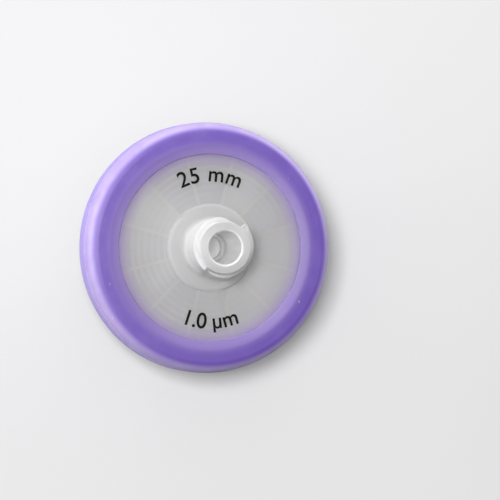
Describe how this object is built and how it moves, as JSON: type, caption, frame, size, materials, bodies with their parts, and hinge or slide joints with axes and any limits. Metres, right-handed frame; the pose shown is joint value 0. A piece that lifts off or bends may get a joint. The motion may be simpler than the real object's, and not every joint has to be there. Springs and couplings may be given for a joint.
{
  "type": "syringe filter",
  "caption": "Disc syringe filter with a female Luer lock inlet, a male Luer slip outlet, a clear window on each side and a coloured moulded rim.",
  "frame": {"origin": "where the filter's axis meets the floor that its outlet tip stands on", "axes": "+Z along the filter's axis, from the outlet tip up to the inlet; +X and +Y run across the disc, and a Luer lug begins 47 degrees from +X towards +Y"},
  "size_m": [0.0322, 0.0322, 0.0222],
  "materials": {
    "natural_pp": "translucent natural polypropylene, smooth moulded",
    "purple_pp": "satin purple polypropylene, slightly translucent",
    "nylon_membrane": "matt white microporous nylon"
  },
  "bodies": {
    "root": {"inlet_housing": "natural_pp", "outlet_housing": "natural_pp", "membrane": "nylon_membrane", "sealing_rim": "purple_pp"}
  },
  "joints": []
}
